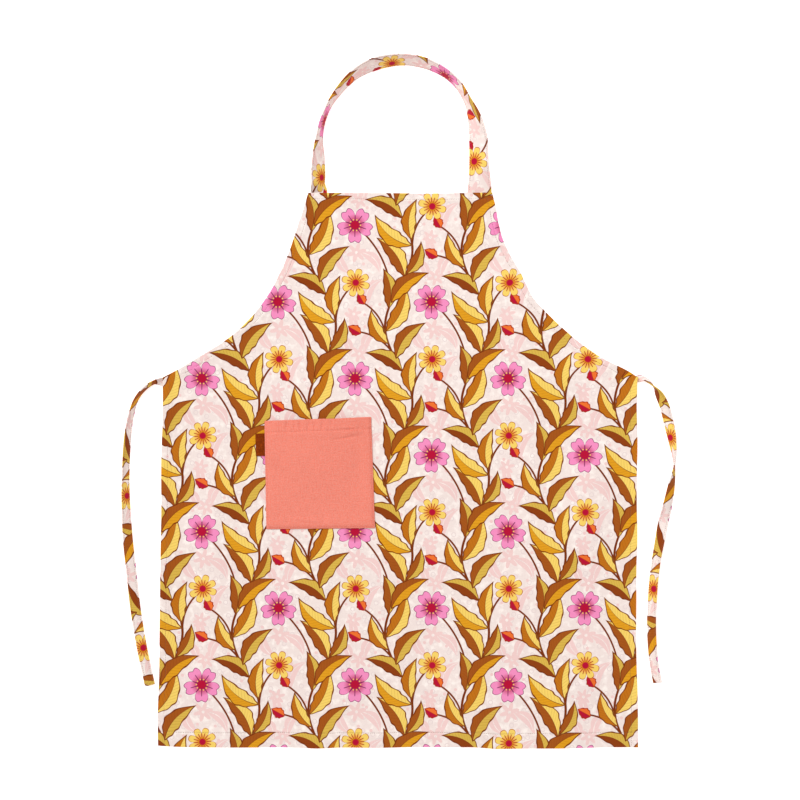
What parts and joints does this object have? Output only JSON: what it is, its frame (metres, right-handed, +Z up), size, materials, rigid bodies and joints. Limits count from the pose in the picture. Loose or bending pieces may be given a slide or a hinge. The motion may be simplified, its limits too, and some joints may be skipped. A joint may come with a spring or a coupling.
{
  "type": "bib apron",
  "caption": "Bib apron of printed cotton lying face up, with a hemmed body, curved armholes, a neck strap, two waist ties and a plain patch pocket with a blank side tab.",
  "frame": {"origin": "middle of the apron's bounding box, on the floor that it lies on", "axes": "+Z up from the floor towards the apron's front face, +Y from the bottom hem towards the bib and neck strap, +X to the right as the front is looked at"},
  "size_m": [0.8096, 1.013, 0.0307],
  "materials": {
    "printed_cotton": null,
    "coral_cotton": "matte plain-weave cotton dyed coral, no print",
    "brown_tab": "matte dark brown, blank"
  },
  "bodies": {
    "root": {"body": "printed_cotton", "neck_strap": "printed_cotton", "tie_left": "printed_cotton", "tie_right": "printed_cotton", "pocket": "coral_cotton", "pocket_tab": "brown_tab"}
  },
  "joints": []
}
